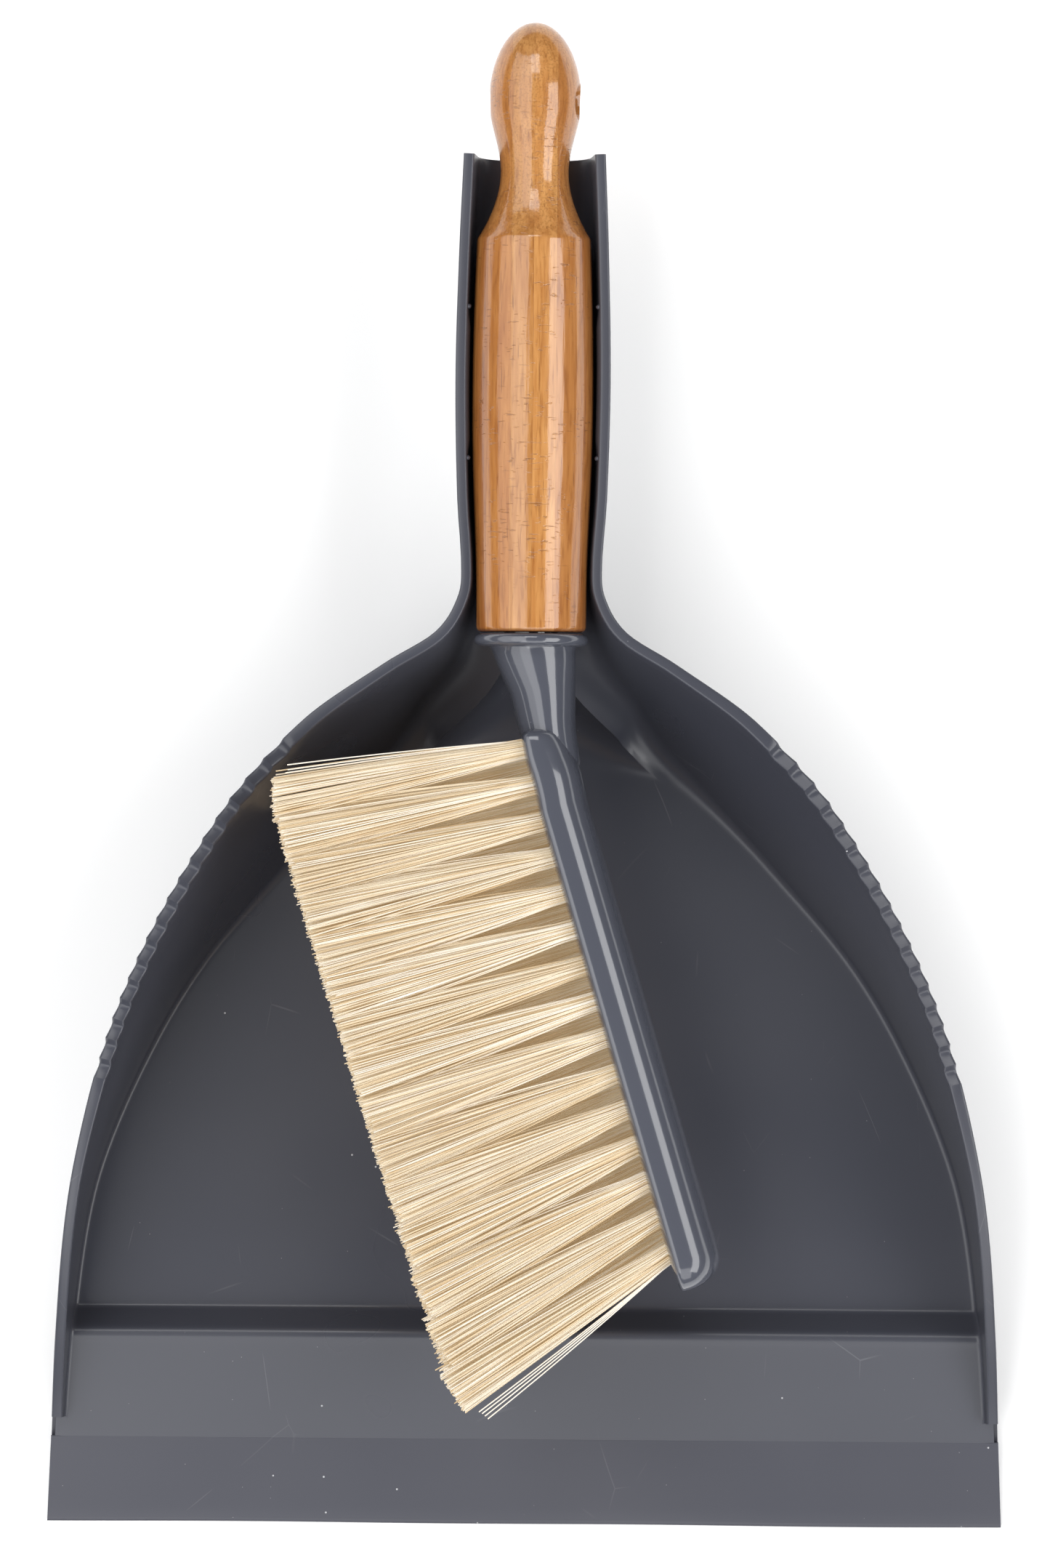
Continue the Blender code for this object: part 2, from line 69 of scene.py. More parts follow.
# Pan, as in the CAD
LIP_JOINT = 20.0
WALL_FRONT = 24.6
SHELL = 2.0
RIM_BEAD = 0.4
INNER_BEAD = 0.45
BEAD_HEIGHT = 2.0
BEAD_STEP = 0.6
RIM_ROUNDING = 0.5
TRAY_FLOOR = 2.0
LIP_JOINT_HEIGHT = 3.4
CHANNEL_FLOOR = 29.9
SLOPE_START = 180.5
SLOPE_END = 212.0
SLOPE_BEND = 185.0
COMB_START = 103.8
COMB_END = 180.7
COMB_TEETH = 17
COMB_DEPTH = 1.3
COMB_INSET = 0.37
COMB_VALLEY = (0.28, 0.42)
PAD_START = 243.9
PAD_END = 278.3
PAD_DEPTH = 0.5
PAD_EASE = 5.0

# Moulded bumps at the ends of the pads
NUB_RADIUS = 0.75
NUB_SQUASH = (1.0, 0.8, 1.1)
NUB_BELOW_RIM = 1.3

# Where the floor's points lie, as shares of the way from its middle to its edge, more than in the CAD
FLOOR_SHARES = (0.985, 0.95, 0.89, 0.8, 0.7, 0.6, 0.5, 0.4, 0.3, 0.2, 0.1)

# Handle and head, as in the CAD
BORE_RADIUS = 6.3
BORE_DEPTH = 30.0
HANG_HOLE_STATION = 324.5
HANG_HOLE_RADIUS = 3.4
HANG_HOLE_TILT = math.radians(8)
SPIGOT_RADIUS = 6.0
SPIGOT_CHAMFER = 0.8
SPIGOT_END_GAP = 1.2
COLLAR_GAP = 0.3
COLLAR_RADIUS = 11.55
COLLAR_BULGE = 1.35
COLLAR_HALF_LENGTH = 1.4
BLOCK_TILT = math.radians(16.75)
BLOCK_ORIGIN = (13.37, 146.4)
BLOCK_END = 92.0
BLOCK_ROUNDING = 7.0
BLOCK_HALF_THICKNESS = 5.75
BLOCK_CROWN = 2.6
FACE_SQUARENESS = 5.0
BACK_SQUARENESS = 2.3
# Stations that shape the head: (x, station, tilt in degrees, half thickness, half width)
NECK = (
    (0.4, 201.7, 0, 9.9, 9.9),
    (0.6, 201.0, 0.5, 9.5, 9.65),
    (1.2, 198.3, 2, 9.0, 9.6),
    (1.95, 195.0, 4.5, 8.2, 9.6),
    (2.65, 192.0, 7, 7.5, 9.6),
    (3.2, 188.0, 9, 7.0, 9.7),
    (3.6, 184.8, 10.5, 6.65, 9.85),
    (4.1, 182.0, 12, 6.35, 9.9),
    (4.85, 178.6, 13.5, 6.1, 9.8),
    (5.7, 174.8, 15, 5.8, 9.4),
    (6.4, 171.5, 16, 4.9, 8.4),
    (6.8, 169.6, 16.2, 3.2, 6.0),
)
BLOCK_SHOULDER = (
    (2.9, 183.5, 2, 2.2, 7.0),
    (2.9, 183.2, 2, 3.4, 9.6),
    (2.9, 182.6, 2.5, 4.4, 11.3),
    (2.95, 181.7, 3.5, 5.0, 12.2),
    (3.6, 179.6, 8, 5.4, 12.75),
    (4.45, 176.9, 12, 5.65, 13.15),
    (5.65, 173.6, 15, 5.75, 13.5),
    (6.65, 170.0, 16.4, 5.75, 13.7),
    (7.47, 166.0, 16.75, 5.75, 13.8),
)
# Unlike in the CAD, the straight part starts at the shoulder's last station, and the rings are finer
STRAIGHT_START = -20.4
HEAD_POINTS = 96

# Tufts, as in the CAD. A row's height above the middle, its number of tufts, and its first tuft's lean
TUFT_ROWS = ((7.5, 15, -5.5), (0.0, 14, -3.5), (-7.5, 15, 2.2))
LONGEST_ROW = 15
TUFT_PITCH = 8.44
FIRST_TUFT = -35.3
FAN_LEAN = 7.2
FAN_END_LEAN = 9.5
FLARE_PER_MM = 0.85
HOLE_RADIUS = 2.3
HOLE_DEPTH = 6.2

# Filaments
FILAMENTS = 165
FILAMENT_RADIUS = 0.15
FILAMENT_SIDES = 5
FILAMENT_STEPS = 9
ROOT_DEPTH = 4.0
# How far a tuft opens at its tips along the block, towards the outer side of an end tuft, and up or down
OPENING = 3.9
OPENING_BEFORE_FIRST = 2.6
OPENING_AFTER_LAST = 2.4
OPENING_UP = 1.9
# How much single filaments stray from that and how far they bow, as standard deviations
STRAY = 0.75
STRAY_UP = 0.35
BOW = 0.22
# The line that the bristles were trimmed to: its reach from the face, where it reaches farthest, how much it
# bends away from there, and how it rounds off at the first tufts
TRIM_REACH = 56.7
TRIM_FARTHEST = -25.0
TRIM_BEND = 0.00013
TRIM_ROUNDED_BEFORE = -33.0
TRIM_ROUNDING = 0.012
# How unevenly single filaments end, as a standard deviation, and how many are shorter by up to how much
RAGGEDNESS = 0.32
SHORT_SHARE = 0.04
SHORT_BY = 1.6
LOOSE_STRAND_CUT = 2.4
# How far the loose strands at the brush's ends stray sideways from their tufts
LOOSE_STRANDS = {"tuft_a01": (-2.7, -3.3, -4.4), "tuft_a15": (4.2, 4.9, 5.7, 6.6), "tuft_b14": (8.8,)}

# The bamboo's glued strips: their width, and their tones from left to right, the outer ones darker partly as
# painted shade on the handle's round sides
STRIP_WIDTH = 5.15
STRIP_TONES_WITH_SIDE_SHADE = (
    (0.38, 0.150, 0.036),
    (0.45, 0.190, 0.050),
    (0.49, 0.232, 0.071),
    (0.56, 0.270, 0.086),
    (0.47, 0.205, 0.060),
    (0.40, 0.160, 0.040),
)

# Stage
FLOOR_HALF_WIDTH = 14000.0
FLOOR_DROP = 0.4
LAMP_DISTANCE = 2000.0
CAMERA_HEIGHT = 2000.0
CAMERA_ROLL = math.radians(0.45)
CAMERA_AIM = (-1.1, -0.5)
VIEW_LENGTH = 361.7


# Meshes


def world_y(station):
    return station + LIP_EDGE_Y


def make_object(name, bm, material, smooth_angle=35):
    """A new object from a bmesh in millimetres, cleaned, and with normals that face out."""
    bmesh.ops.remove_doubles(bm, verts=bm.verts, dist=0.001)
    bmesh.ops.dissolve_degenerate(bm, edges=bm.edges, dist=0.0005)
    bmesh.ops.scale(bm, vec=(MM, MM, MM), verts=bm.verts)
    bmesh.ops.recalc_face_normals(bm, faces=bm.faces)
    return link_object(name, bm, material, smooth_angle)


def link_object(name, bm, material, smooth_angle):
    """A new object from a clean bmesh in metres, smooth but for edges sharper than the angle."""
    mesh = bpy.data.meshes.new(name)
    bm.to_mesh(mesh)
    bm.free()
    mesh.shade_smooth()
    mesh.set_sharp_from_angle(angle=math.radians(smooth_angle))
    mesh.materials.append(material)
    obj = bpy.data.objects.new(name, mesh)
    bpy.context.scene.collection.objects.link(obj)
    return obj


def combine(obj, other, operation, smooth_angle=35):
    """Adds the other shape to the object, or takes it away, and removes the other object."""
    modifier = obj.modifiers.new("combine", "BOOLEAN")
    modifier.operation = operation
    modifier.solver = "EXACT"
    modifier.object = other
    bpy.context.view_layer.update()
    evaluated = obj.evaluated_get(bpy.context.evaluated_depsgraph_get())
    mesh = bpy.data.meshes.new_from_object(evaluated)
    obj.modifiers.clear()
    obj.data = mesh
    mesh.shade_smooth()
    mesh.set_sharp_from_angle(angle=math.radians(smooth_angle))
    bpy.data.objects.remove(other, do_unlink=True)


def skin(bm, loops):
    """Adds the faces between loops of equal vertex counts, and a cap on the first and the last."""
    for near, far in zip(loops, loops[1:]):
        for k in range(len(near)):
            after = (k + 1) % len(near)
            bm.faces.new((near[k], near[after], far[after], far[k]))
    bm.faces.new(reversed(loops[0]))
    bm.faces.new(loops[-1])


def loft(rings):
    """A closed bmesh through rings of equal point counts."""
    bm = bmesh.new()
    skin(bm, [[bm.verts.new(point) for point in ring] for ring in rings])
    return bm


def smooth_step(low, high, value):
    part = min(1.0, max(0.0, (value - low) / (high - low)))
    return part * part * (3 - 2 * part)


def curve_through(*points):
    """A smooth function through (x, y) points: cubic pieces, with slopes set by each point's neighbours."""
    slopes = []
    for k in range(len(points)):
        before = points[max(k - 1, 0)]
        after = points[min(k + 1, len(points) - 1)]
        slopes.append((after[1] - before[1]) / (after[0] - before[0]))

    def value(x):
        k = 0
        while k < len(points) - 2 and x > points[k + 1][0]:
            k += 1
        (x0, y0), (x1, y1) = points[k], points[k + 1]
        span = x1 - x0
        t = (x - x0) / span
        return (
            (2 * t**3 - 3 * t**2 + 1) * y0
            + (t**3 - 2 * t**2 + t) * span * slopes[k]
            + (3 * t**2 - 2 * t**3) * y1
            + (t**3 - t**2) * span * slopes[k + 1]
        )

    return value


def bezier(start, control, end, steps):
    """Points of a quadratic curve, with its ends."""
    points = []
    for k in range(steps + 1):
        t = k / steps
        points.append((1 - t) ** 2 * start + 2 * t * (1 - t) * control + t**2 * end)
    return points


def spaced(start, end, step):
    """Stations from start up to but not at end, evenly spaced and about a step apart."""
    count = max(1, round((end - start) / step))
    return [start + (end - start) * k / count for k in range(count)]


# Pan


rim_half_width = curve_through(
    (0, LIP_HALF_WIDTH),
    (45, 107.4),
    (85, 102.5),
    (125, 91.0),
    (164, 69.9),
    (185, 51.2),
    (198, 32.8),
    (205, 21.6),
    (213, 16.6),
    (220, 15.9),
    (235, 16.9),
    (262, 17.5),
    (290, 16.9),
    (CHANNEL_END, 16.0),
)
rim_height = curve_through(
    (LIP_JOINT, 7.4),
    (WALL_FRONT, 8.2),
    (45, 21),
    (60, 29.5),
    (80, 37),
    (104, 41.5),
    (135, 44.5),
    (180, 46),
    (215, 48),
    (240, 49),
    (CHANNEL_END, 49),
)
wall_run = curve_through(
    (LIP_JOINT, 0.4),
    (60, 0.8),
    (83, 2.2),
    (113, 7),
    (135, 10.5),
    (163, 16),
    (180, 17),
    (192, 15.5),
    (200, 10.5),
    (207, 5),
    (213, 2),
    (220, 1.5),
    (CHANNEL_END, 1.5),
)
# Unlike the curves above, the fillets and the foot of the step in the floor differ a little from the CAD's
corner_size = curve_through(
    (LIP_JOINT, 0.8),
    (45, 1.2),
    (65, 1.3),
    (160, 1.8),
    (185, 3.5),
    (205, 9),
    (213, 10.5),
    (220, 11),
    (CHANNEL_END, 11),
)
front_floor = curve_through(
    (LIP_JOINT, LIP_JOINT_HEIGHT),
    (31, 6.4),
    (42.2, 9.4),
    (43.6, 9.9),
    (44.8, 9.8),
    (45.8, 8.9),
    (49.5, 2.7),
    (50.1, 2.1),
    (50.8, TRAY_FLOOR),
    (60, TRAY_FLOOR),
)


def floor_height(station, x=0.0):
    """The floor's top: a ramp up from the lip, a step down, the flat tray, and a slope up to the channel.

    The slope's foot is an arc that bends towards the lip at the sides.
    """
    if station < 55:
        return front_floor(station)
    rise = smooth_step(SLOPE_START, SLOPE_END, station + x * x / SLOPE_BEND)
    return TRAY_FLOOR + (CHANNEL_FLOOR - TRAY_FLOOR) * rise


def comb_notch(station):
    """How far the comb cuts into the rim here, from 0 on a crest to 1 along the rounded valley."""
    if not COMB_START < station < COMB_END:
        return 0.0
    pitch = (COMB_END - COMB_START) / COMB_TEETH
    part = (COMB_END - station) / pitch % 1.0
    steep_end, climb_start = COMB_VALLEY
    if part < steep_end:
        return smooth_step(-0.12, 1.0, part / steep_end)
    if part < climb_start:
        return 1.0
    climb = (1 - part) / (1 - climb_start)
    return min(1.0, climb * (1.25 - 0.25 * climb))


def wall_reach(height, run):
    """How far the rim stands out from the inner corner of the floor and the wall."""
    return run + SHELL / math.sin(math.atan2(height, run)) + RIM_BEAD


def rounded(corner, before, after, size, steps=3):
    """Points of a small curve that eases one corner of an outline."""
    start = corner + (before - corner).normalized() * size
    end = corner + (after - corner).normalized() * size
    return bezier(start, corner, end, steps)


def inner_bead(station):
    """How far the rim's inner edge overhangs the wall, which is where the comb is."""
    return INNER_BEAD * smooth_step(80, COMB_START, station) * (1 - smooth_step(COMB_END, 200, station))


def wall_section(height, run, corner, pad, notch, overhang):
    """Half a section as (outward, up) points from the floor's edge over the rim to the underside's edge."""
    slope = math.atan2(height, run)
    up_wall = Vector((math.cos(slope), math.sin(slope)))
    inner = bezier(Vector((-corner, 0)), Vector((0, 0)), corner * up_wall, 9)
    wall_length = math.hypot(height, run)
    for k in range(1, 9):
        part = 0.87 * k / 8
        share = smooth_step(0.35, 0.6, part) * (1 - 0.3 * smooth_step(0.78, 0.87, part))
        along = corner + (wall_length - corner) * part
        inner.append(along * up_wall - Vector((pad * share, 0)))
    rim = wall_reach(height, run)
    bead = min(BEAD_HEIGHT, 0.36 * height)
    below = height - bead - min(BEAD_STEP, 0.15 * height)
    edge = min(RIM_ROUNDING, 0.2 * bead + 0.1)
    cut = Vector((-COMB_INSET * notch, -COMB_DEPTH * notch))
    inner_top = Vector((run + 0.05 - overhang, height)) + cut
    outer_top = Vector((rim, height)) + cut
    bead_foot = Vector((rim - COMB_INSET * notch, height - bead))
    under_bead = Vector((below / math.tan(slope) + SHELL / math.sin(slope), below))
    top = rounded(inner_top, inner[-1], outer_top, edge)
    top += rounded(outer_top, inner_top, bead_foot, edge)
    top += [bead_foot, under_bead, under_bead - min(0.8, 0.15 * below) * up_wall]
    shift = SHELL * math.tan(slope / 2)
    outer_corner = Vector((shift, -SHELL))
    outer = bezier(outer_corner + (corner + shift) * up_wall, outer_corner, Vector((-corner, -SHELL)), 9)
    return inner + top + outer


def floor_row(edge, depth):
    """Points from the floor's edge towards its middle, a depth below its top."""
    station = edge[1] - world_y(0)
    lift = edge[2] + depth - floor_height(station, edge[0])
    row = []
    for share in FLOOR_SHARES:
        x = edge[0] * share
        row.append((x, edge[1], floor_height(station, x) + lift * share**4 - depth))
    return row


def pan_ring(station, walled=True):
    """The pan's closed section that meets the rim at this station, square to the rim in plan."""
    half_width = rim_half_width(station)
    slope = rim_half_width(station + 0.5) - rim_half_width(station - 0.5)
    outward = Vector((1, -slope)).normalized()
    run = wall_run(station)
    corner_station, corner_x = station, half_width
    for _ in range(8):
        floor = floor_height(corner_station, corner_x)
        height = rim_height(station) - floor
        reach = wall_reach(height, run)
        corner_station = station - outward.y * reach
        corner_x = half_width - outward.x * reach
    corner = min(corner_size(station), 0.45 * height, corner_x - 1.0)
    pad = PAD_DEPTH * smooth_step(PAD_START, PAD_START + PAD_EASE, station)
    pad *= 1 - smooth_step(PAD_END - PAD_EASE, PAD_END, station)
    slab_edge = SHELL / math.sin(math.atan2(height, run))
    right = []
    section = wall_section(height, run, corner, pad, comb_notch(station), inner_bead(station))
    for out, up in section:
        if not walled:
            out, up = min(out, slab_edge), min(up, 0.0)
        x = corner_x + outward.x * out
        y = world_y(corner_station + outward.y * out)
        right.append((x, y, floor + up))
    half = floor_row(right[0], 0)[::-1] + right + floor_row(right[-1], SHELL)
    return half + [(-x, y, z) for x, y, z in reversed(half)]


def pan_stations():
    """Where the pan's walled sections lie, closer together at the step, the comb, the throat and the pads."""
    stations = []
    for start, end, step in (
        (WALL_FRONT, 40, 2.5),
        (40, 52.5, 0.6),
        (52.5, COMB_START, 3.5),
        (COMB_START, COMB_END, (COMB_END - COMB_START) / (COMB_TEETH * 12)),
        (COMB_END, 222, 1.2),
        (222, PAD_START, 4),
        (PAD_START, PAD_START + PAD_EASE, 1),
        (PAD_START + PAD_EASE, PAD_END - PAD_EASE, 4),
        (PAD_END - PAD_EASE, PAD_END, 1),
        (PAD_END, CHANNEL_END - 0.6, 4),
    ):
        stations += spaced(start, end, step)
    return stations + [CHANNEL_END - 0.6, CHANNEL_END - 0.15, CHANNEL_END]


def make_pan(plastic):
    """The pan: a bare slab from the lip's joint to the walls' front ends, then walled sections."""
    slab_end = WALL_FRONT - 0.05
    slab_stations = spaced(LIP_JOINT, slab_end, 1.5) + [slab_end]
    rings = [pan_ring(station, walled=False) for station in slab_stations]
    rings += [pan_ring(station) for station in pan_stations()]
    pan = make_object("pan_body", loft(rings), plastic, smooth_angle=38)
    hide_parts("pan_shell")
    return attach(pan, "pan")


def nub(place):
    """One small moulded bump as a bmesh."""
    bm = bmesh.new()
    bmesh.ops.create_icosphere(bm, subdivisions=2, radius=NUB_RADIUS)
    bmesh.ops.scale(bm, vec=NUB_SQUASH, verts=bm.verts)
    bmesh.ops.translate(bm, vec=place, verts=bm.verts)
    return bm


def make_nubs(plastic):
    """The small bumps at the ends of the clip pads, on the channel's inner edges."""
    for side, label in ((1, "right"), (-1, "left")):
        for station, end in ((PAD_START + 0.3, "front"), (PAD_END, "rear")):
            x = side * (rim_half_width(station) - SHELL - RIM_BEAD - 0.1)
            place = Vector((x, world_y(station), rim_height(station) - NUB_BELOW_RIM))
            piece = make_object(f"pad_nub_{label}_{end}", nub(place), plastic)
            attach(piece, "pan")


# Lip


def make_lip(rubber):
    """The soft strip: a thin lip whose edge wavers a little, with a tail under the ramp."""
    tail = 26.0
    ramp = (floor_height(tail) - LIP_JOINT_HEIGHT) / (tail - LIP_JOINT)
    tail_top = LIP_JOINT_HEIGHT - SHELL - 0.3
    joint = LIP_JOINT - 0.03
    outline = [(0.05, 0.0), (0.0, 0.12), (0.0, 0.5), (0.12, 0.75), (0.4, 0.95), (1.0, 1.09)]
    for station in (4, 9, 14, 18):
        rise = (LIP_JOINT_HEIGHT - 1.0) * (station - 0.4) / (joint - 0.4)
        outline.append((station, 1.0 + rise))
    outline += [(joint - 0.15, LIP_JOINT_HEIGHT - 0.02), (joint, LIP_JOINT_HEIGHT - 0.12)]
    outline += [(joint, tail_top), (tail, tail_top + ramp * (tail - LIP_JOINT)), (tail, 0)]
    rings = []
    columns = 60
    for k in range(columns + 1):
        share = 1 - 2 * k / columns
        ring = []
        for station, height in outline:
            waver = 0.16 * (1 + math.sin(5.1 * share + 1.3) * math.sin(2.3 * share))
            waver *= max(0, 1 - station / 5)
            half_width = LIP_HALF_WIDTH - 0.045 * station
            ring.append((share * half_width, world_y(station + waver), height))
        rings.append(ring)
    lip = make_object("lip_soft_strip", loft(rings), rubber)
    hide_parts("lip_strip")
    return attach(lip, "pan")


# Handle


def handle_profile():
    """(radius, station) points of the turned handle, from its tip to its open end and up the bore."""
    ball, ball_radius = 325.0, 10.43
    ball_rise = TOTAL_LENGTH - ball
    neck, neck_radius = 308.8, 7.7
    shoulder, shoulder_radius = 293.9, 12.75
    widest, widest_radius = 256.0, HANDLE_RADIUS
    end_radius = 12.4
    points = []
    for k in range(25):
        angle = math.radians(90 - 90 * k / 24)
        points.append((ball_radius * math.cos(angle), ball + ball_rise * math.sin(angle)))
    for k in range(1, 17):
        part = k / 16
        swell = 0.5 + 0.5 * math.cos(math.pi * part)
        radius = neck_radius + (ball_radius - neck_radius) * swell
        points.append((radius, ball + (neck - ball) * part))
    for k in range(1, 15):
        part = k / 14
        flare = (shoulder_radius - neck_radius) * part**1.9
        points.append((neck_radius + flare, neck + (shoulder - neck) * part))
    points.append((shoulder_radius + 0.1, shoulder - 0.3))
    points.append((shoulder_radius + 0.15, shoulder - 0.8))
    for k in range(1, 11):
        part = 1 - k / 10
        narrowing = (widest_radius - shoulder_radius - 0.15) * part**2
        points.append((widest_radius - narrowing, widest + (shoulder - 0.8 - widest) * part))
    for k in range(1, 13):
        part = k / 12
        narrowing = (widest_radius - end_radius) * (0.5 - 0.5 * math.cos(math.pi * part))
        points.append((widest_radius - narrowing, widest + (HANDLE_END + 1.2 - widest) * part))
    points.append((end_radius - 0.1, HANDLE_END + 0.75))
    points.append((end_radius - 0.35, HANDLE_END + 0.35))
    points.append((end_radius - 0.75, HANDLE_END + 0.1))
    points.append((end_radius - 1.2, HANDLE_END))
    points.append((BORE_RADIUS, HANDLE_END))
    points.append((BORE_RADIUS, HANDLE_END + BORE_DEPTH))
    points.append((0, HANDLE_END + BORE_DEPTH))
    return points


def turned(profile, sides):
    """A bmesh turned about the handle's axis from (radius, station) points whose ends lie on the axis."""
    bm = bmesh.new()
    rows = []
    for radius, station in profile:
        if radius < 0.001:
            rows.append([bm.verts.new((0, world_y(station), AXIS_HEIGHT))])
            continue
        row = []
        for k in range(sides):
            angle = 2 * math.pi * k / sides
            x, z = radius * math.cos(angle), AXIS_HEIGHT + radius * math.sin(angle)
            row.append(bm.verts.new((x, world_y(station), z)))
        rows.append(row)
    for near, far in zip(rows, rows[1:]):
        for k in range(sides):
            after = (k + 1) % sides
            corners = [near[k % len(near)], near[after % len(near)], far[after % len(far)], far[k % len(far)]]
            bm.faces.new(list(dict.fromkeys(corners)))
    return bm


def hanging_hole_cutter(material):
    """A cylinder with softly flared ends, so that the hole's mouths are eased."""
    flare = ((7, 0), (8.4, 0.08), (9.3, 0.35), (10, 0.8), (11.2, 1.7), (13, 3.4))
    other_flare = [(-along, widening) for along, widening in reversed(flare)]
    rings = []
    for along, widening in (*other_flare, *flare):
        radius = HANG_HOLE_RADIUS + widening
        ring = []
        for k in range(40):
            angle = 2 * math.pi * k / 40
            ring.append((along, radius * math.cos(angle), radius * math.sin(angle)))
        rings.append(ring)
    bm = loft(rings)
    place = Matrix.Translation((0, world_y(HANG_HOLE_STATION), AXIS_HEIGHT))
    turn = Matrix.Rotation(-HANG_HOLE_TILT, 4, "Y")
    bmesh.ops.transform(bm, matrix=place @ turn, verts=bm.verts)
    return make_object("hanging_hole_cutter", bm, material)


def make_handle(wood):
    handle = make_object("handle_wood", turned(handle_profile(), 96), wood)
    combine(handle, hanging_hole_cutter(wood), "DIFFERENCE")
    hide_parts("handle")
    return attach(handle, "brush")


# Brush head


def head_ring(x, station, tilt, half_thickness, half_width, crown=0.0, squareness=(2, 2)):
    """A ring round the brush head's centreline: a circle, or a D with its flat side on the bristle face."""
    ring = []
    for k in range(HEAD_POINTS):
        angle = 2 * math.pi * (k + 0.5) / HEAD_POINTS
        cosine, sine = math.cos(angle), math.sin(angle)
        if cosine > 0:
            half, power = half_thickness + crown, 2 / squareness[1]
        else:
            half, power = half_thickness - crown, 2 / squareness[0]
        across = math.copysign(abs(cosine) ** power, cosine) * half - crown
        up = math.copysign(abs(sine) ** power, sine) * half_width
        y = world_y(station) + across * math.sin(tilt)
        ring.append((x + across * math.cos(tilt), y, AXIS_HEIGHT + up))
    return ring


def block_point(along):
    """(x, station) of the block's centreline at a distance along it from its origin."""
    return BLOCK_ORIGIN[0] + along * math.sin(BLOCK_TILT), BLOCK_ORIGIN[1] - along * math.cos(BLOCK_TILT)


def d_ring(x, station, tilt, half_thickness, half_width):
    """A ring of the block's D section, whose crown is in proportion to its thickness."""
    crown = BLOCK_CROWN * half_thickness / BLOCK_HALF_THICKNESS
    squareness = (FACE_SQUARENESS, BACK_SQUARENESS)
    return head_ring(x, station, tilt, half_thickness, half_width, crown, squareness)


def rings_through(table, make_ring, step):
    """Rings at about a step apart, through the stations of a table."""
    columns = list(zip(*table))
    stations = columns[1]
    curves = []
    for column in (columns[0], columns[2], columns[3], columns[4]):
        curves.append(curve_through(*[(-station, value) for station, value in zip(stations, column)]))
    rings = []
    for start, end in zip(stations, stations[1:]):
        for place in spaced(-start, -end, step):
            x, degrees, thickness, width = [curve(place) for curve in curves]
            rings.append(make_ring(x, -place, math.radians(degrees), thickness, width))
    return rings


def neck_rings():
    """The spigot, the collar, and the neck, which ends inside the block."""
    rings = []
    spigot_end = HANDLE_END + BORE_DEPTH - SPIGOT_END_GAP
    collar = HANDLE_END - COLLAR_GAP
    for station, radius in (
        (spigot_end, SPIGOT_RADIUS - SPIGOT_CHAMFER),
        (spigot_end - SPIGOT_CHAMFER, SPIGOT_RADIUS),
        (collar, SPIGOT_RADIUS),
    ):
        rings.append(head_ring(0, station, 0, radius, radius))
    for k in range(13):
        turn = math.radians(-90 + 180 * k / 12)
        radius = COLLAR_RADIUS + COLLAR_BULGE * math.cos(turn)
        station = collar - COLLAR_HALF_LENGTH - COLLAR_HALF_LENGTH * math.sin(turn)
        rings.append(head_ring(0, station, 0, radius, radius))
    rings.append(head_ring(0.25, collar - 2.85, 0, 10.6, 10.6))
    rings.append(head_ring(0.35, collar - 2.95, 0, 10.1, 10.1))
    return rings + rings_through(NECK, head_ring, 0.7)


def block_rings():
    """The block, from its shoulder on the neck to its rounded end."""
    rings = rings_through(BLOCK_SHOULDER, d_ring, 0.5)
    for along in spaced(STRAIGHT_START, BLOCK_END - BLOCK_ROUNDING, 4):
        x, station = block_point(along)
        rings.append(d_ring(x, station, BLOCK_TILT, BLOCK_HALF_THICKNESS, BLOCK_HALF_WIDTH))
    for k in range(18):
        angle = math.radians(88 * k / 17)
        x, station = block_point(BLOCK_END - BLOCK_ROUNDING * (1 - math.sin(angle)))
        half = BLOCK_HALF_THICKNESS * (0.3 + 0.7 * math.cos(angle))
        towards_face = (BLOCK_HALF_THICKNESS - half) * 0.75
        x -= towards_face * math.cos(BLOCK_TILT)
        station -= towards_face * math.sin(BLOCK_TILT)
        width = BLOCK_HALF_WIDTH * (0.45 + 0.55 * math.cos(angle) ** 0.8)
        rings.append(d_ring(x, station, BLOCK_TILT, half, width))
    return rings


def fan_angle(share, first_lean):
    """How far a tuft leans along the block, from towards the handle to towards the block's end."""
    return math.radians(first_lean + (FAN_LEAN - first_lean) * share + FAN_END_LEAN * share**4)


ALONG_BLOCK = Vector((math.sin(BLOCK_TILT), -math.cos(BLOCK_TILT), 0))
OUT_OF_FACE = Vector((-math.cos(BLOCK_TILT), -math.sin(BLOCK_TILT), 0))
UP = Vector((0, 0, 1))


def tuft_frames():
    """Each tuft's name, place in its row from 0 to 14, root on the face, and direction."""
    frames = []
    for letter, (row_height, count, first_lean) in zip("abc", TUFT_ROWS):
        for index in range(count):
            place = index + (LONGEST_ROW - count) / 2
            x, station = block_point(FIRST_TUFT + TUFT_PITCH * place)
            root = Vector((x, world_y(station), AXIS_HEIGHT + row_height))
            root += OUT_OF_FACE * BLOCK_HALF_THICKNESS
            lean = fan_angle(place / (LONGEST_ROW - 1), first_lean)
            flare = math.radians(row_height * FLARE_PER_MM)
            direction = (
                OUT_OF_FACE * math.cos(lean) * math.cos(flare)
                + ALONG_BLOCK * math.sin(lean)
                + UP * math.sin(flare)
            ).normalized()
            frames.append((f"tuft_{letter}{index + 1:02d}", place, root, direction))
    return frames


